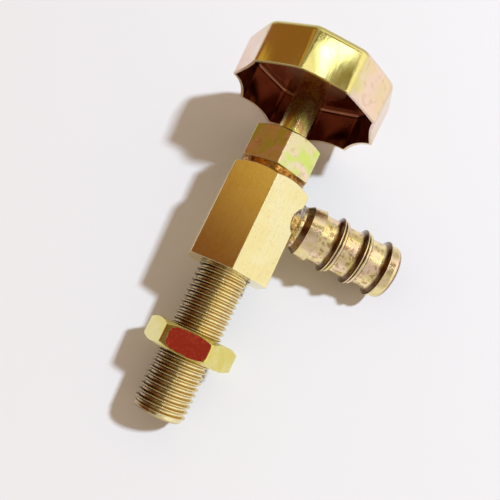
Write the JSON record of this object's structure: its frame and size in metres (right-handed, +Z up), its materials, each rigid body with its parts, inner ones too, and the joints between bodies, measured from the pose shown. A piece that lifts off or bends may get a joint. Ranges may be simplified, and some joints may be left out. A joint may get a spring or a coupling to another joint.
{
  "type": "needle valve",
  "caption": "Panel-mount gas needle valve with a threaded shank and locknut, a side hose barb and a stamped lobed handwheel.",
  "frame": {"origin": "on the valve's axis, in the plane of the hexagon's lower shoulder, the face that seats on a panel", "axes": "+Z up the stem towards the handwheel, +X out along the hose tail"},
  "size_m": [0.0616, 0.0414, 0.1054],
  "materials": {
    "body_zinc": "satin",
    "tail_zinc": "satin",
    "bonnet_zinc": "satin",
    "nut_zinc": "satin",
    "wheel_zinc": "polished",
    "stem_steel": "satin",
    "needle_steel": "polished",
    "copper": "satin",
    "braze": "matte",
    "seal_rubber": "matte",
    "fastener_zinc": "satin"
  },
  "bodies": {
    "body": {"valve_body": "body_zinc", "hose_tail": "tail_zinc", "braze_fillet": "braze", "bonnet": "bonnet_zinc", "bonnet_washer": "copper"},
    "stem_seals": {"stem_o_ring_lower": "seal_rubber", "stem_o_ring_upper": "seal_rubber"},
    "stem": {"stem": "stem_steel", "needle": "needle_steel", "handwheel": "wheel_zinc", "wheel_washer": "fastener_zinc", "wheel_spring_washer": "fastener_zinc", "wheel_nut": "fastener_zinc"},
    "locknut": {"panel_nut": "nut_zinc"}
  },
  "joints": [
    {"name": "stem_rise", "type": "slide", "parent": "body", "child": "stem_seals", "axis": [0, 0, 1], "range_m": [0, 0.003]},
    {"name": "handwheel_turn", "type": "hinge", "parent": "stem_seals", "child": "stem", "pos_m": [0, 0, 0], "axis": [0, 0, 1], "range_deg": [0, 1080]},
    {"name": "locknut_travel", "type": "slide", "parent": "body", "child": "locknut", "axis": [0, 0, 1], "range_m": [-0.0155, 0.0171]}
  ],
  "couplings": [
    {"joint": "handwheel_turn", "follows": "stem_rise", "rad_per_m": 6283.2}
  ]
}
